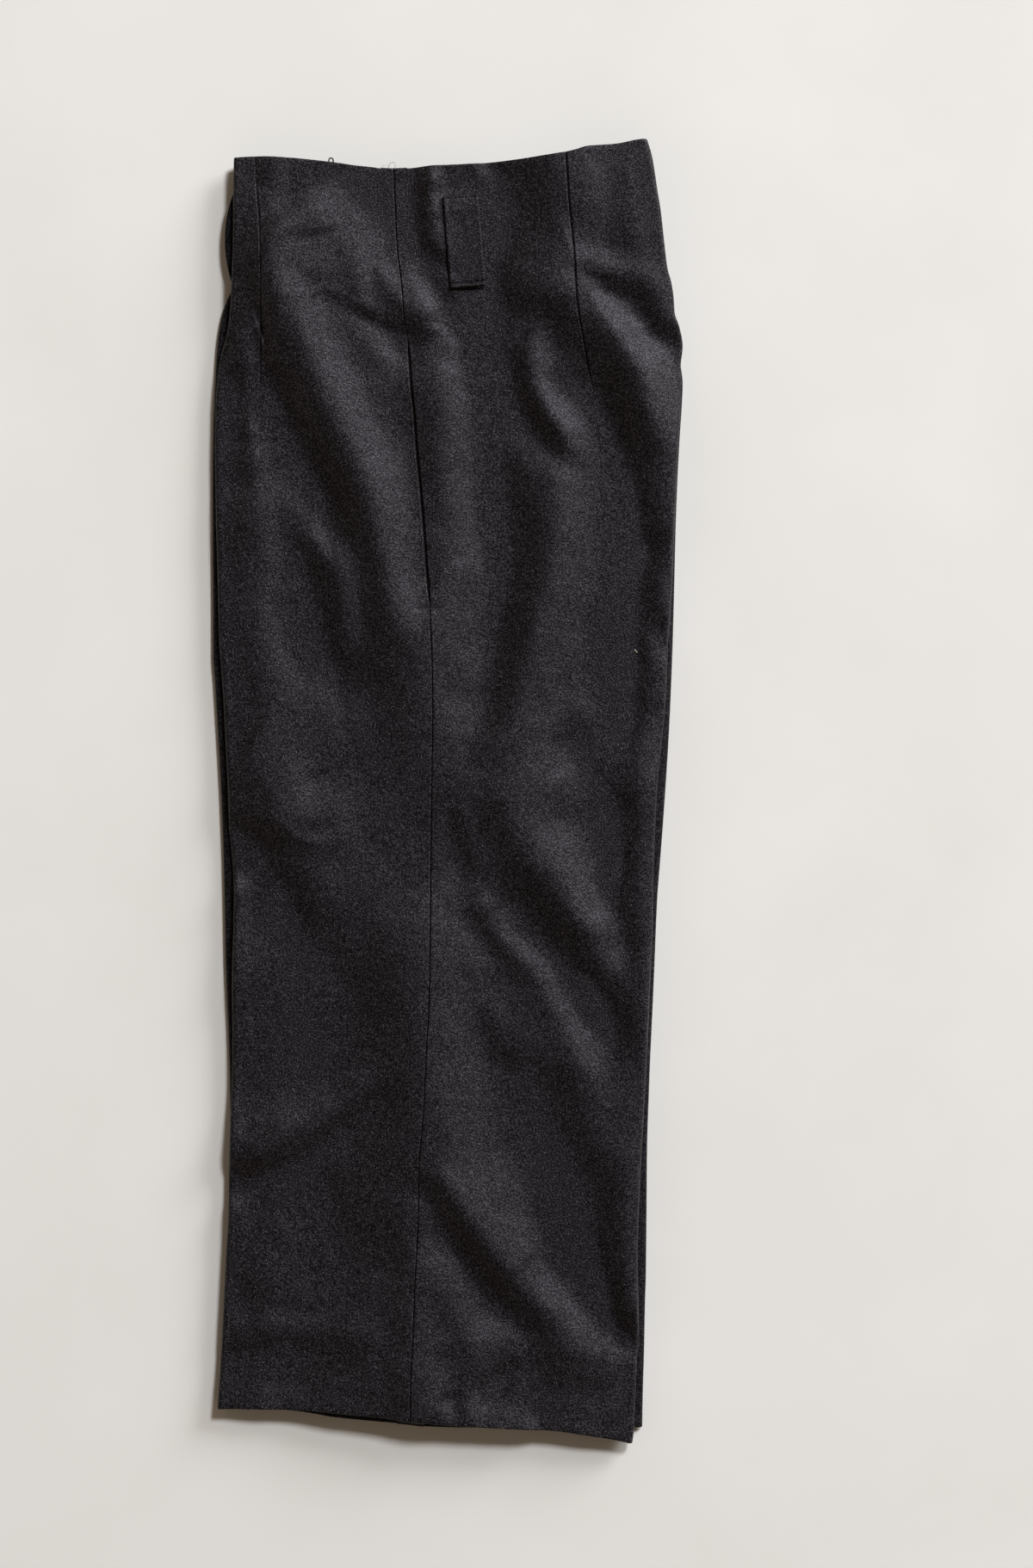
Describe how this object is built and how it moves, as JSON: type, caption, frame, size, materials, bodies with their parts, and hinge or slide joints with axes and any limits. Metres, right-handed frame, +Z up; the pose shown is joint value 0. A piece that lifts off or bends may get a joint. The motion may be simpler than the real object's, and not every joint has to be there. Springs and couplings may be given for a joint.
{
  "type": "high-waisted wool trousers, folded along the leg creases and laid flat",
  "caption": "High-waisted wide cropped wool trousers laid on their side, one leg on the other, with darts, a side-seam pocket and wide belt loops.",
  "frame": {"origin": "middle of the underside, on the surface the trousers lie on", "axes": "+X from the front creases to the back creases, +Y towards the waist, +Z up from the surface"},
  "size_m": [0.3614, 1, 0.023],
  "materials": {
    "wool": "charcoal melange wool flannel, matt",
    "loop_wool": "the same flannel, folded to a strap",
    "pocketing": "black cotton twill",
    "wire": "black enamelled wire"
  },
  "bodies": {
    "root": {"front_upper_leg": "wool", "back_upper_leg": "wool", "front_lower_leg": "wool", "back_lower_leg": "wool", "belt_loop_back_upper": "loop_wool", "belt_loop_back_lower": "loop_wool", "belt_loop_front_upper": "loop_wool", "belt_loop_front_lower": "loop_wool", "pocket_facing_upper": "pocketing", "pocket_facing_lower": "pocketing", "waist_eye": "wire"}
  },
  "joints": []
}
